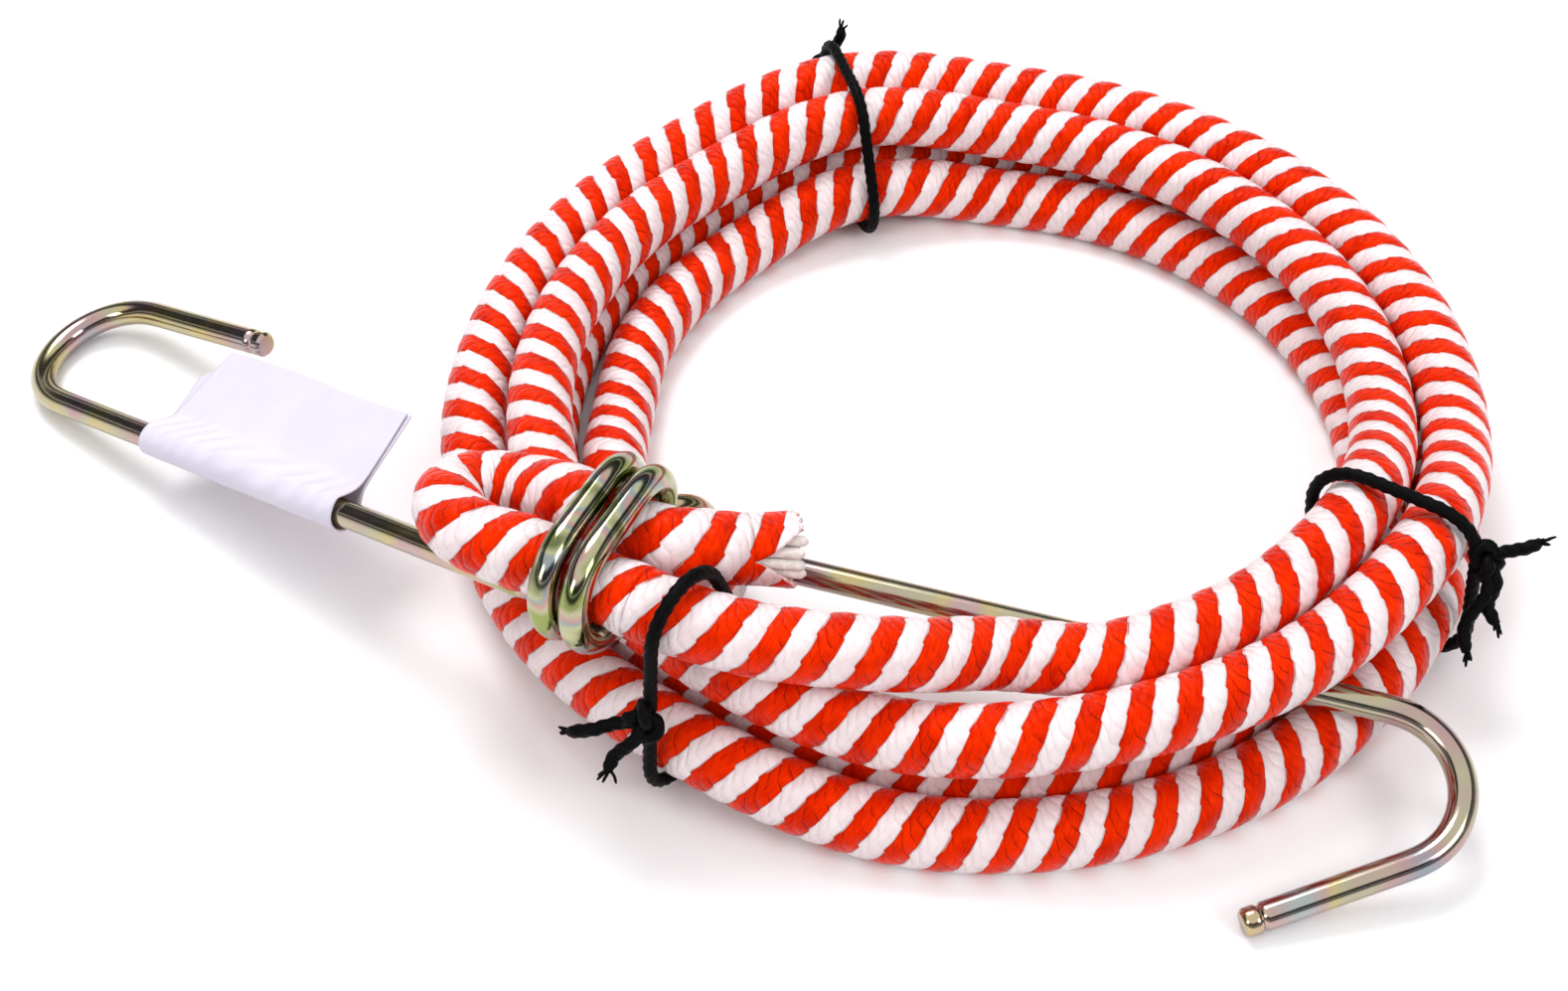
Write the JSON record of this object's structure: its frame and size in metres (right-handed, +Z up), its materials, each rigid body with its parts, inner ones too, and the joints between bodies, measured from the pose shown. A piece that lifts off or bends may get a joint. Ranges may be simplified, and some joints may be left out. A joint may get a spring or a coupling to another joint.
{
  "type": "bungee cord",
  "caption": "Coiled elastic bungee cord in a striped braided sheath, tied with twine, with a bent wire hook wound onto each end.",
  "frame": {"origin": "middle of the bounding box's underside, on the floor", "axes": "+X from the left hook to the right hook, +Y to the back of the ring, +Z up"},
  "size_m": [0.234, 0.1622, 0.0407],
  "materials": {
    "sheath": "red and white braid",
    "rubber": "white strands",
    "wire": "yellow passivated zinc",
    "twine": "waxed black",
    "paper": "white paper"
  },
  "bodies": {
    "ring": {"sheath_coil": "sheath", "rubber_core_coil": "rubber", "sheath_left_neck": "sheath", "rubber_core_left_neck": "rubber", "sheath_right_neck": "sheath", "rubber_core_right_neck": "rubber", "tie_back": "twine", "tie_right": "twine", "tie_front": "twine"},
    "left_end": {"hook_left": "wire", "sheath_left_end": "sheath", "rubber_core_left_end": "rubber"},
    "right_end": {"hook_right": "wire", "sheath_right_end": "sheath", "rubber_core_right_end": "rubber"},
    "label": {"label": "paper"}
  },
  "joints": [
    {"name": "left_hook_pull", "type": "slide", "parent": "ring", "child": "left_end", "axis": [-0.9205, 0.3907, 0], "range_m": [0, 0.03], "stiffness_N_per_m": 150, "deforming": ["sheath_left_neck", "rubber_core_left_neck"]},
    {"name": "right_hook_pull", "type": "slide", "parent": "ring", "child": "right_end", "axis": [0.9875, -0.1564, -0.0209], "range_m": [0, 0.02], "stiffness_N_per_m": 150, "deforming": ["sheath_right_neck", "rubber_core_right_neck"]},
    {"name": "label_turn", "type": "hinge", "parent": "left_end", "child": "label", "pos_m": [-0.10925, -0.00774, 0.0036], "axis": [-0.8664, 0.4549, -0.2062], "range_deg": [-60, 10]}
  ]
}
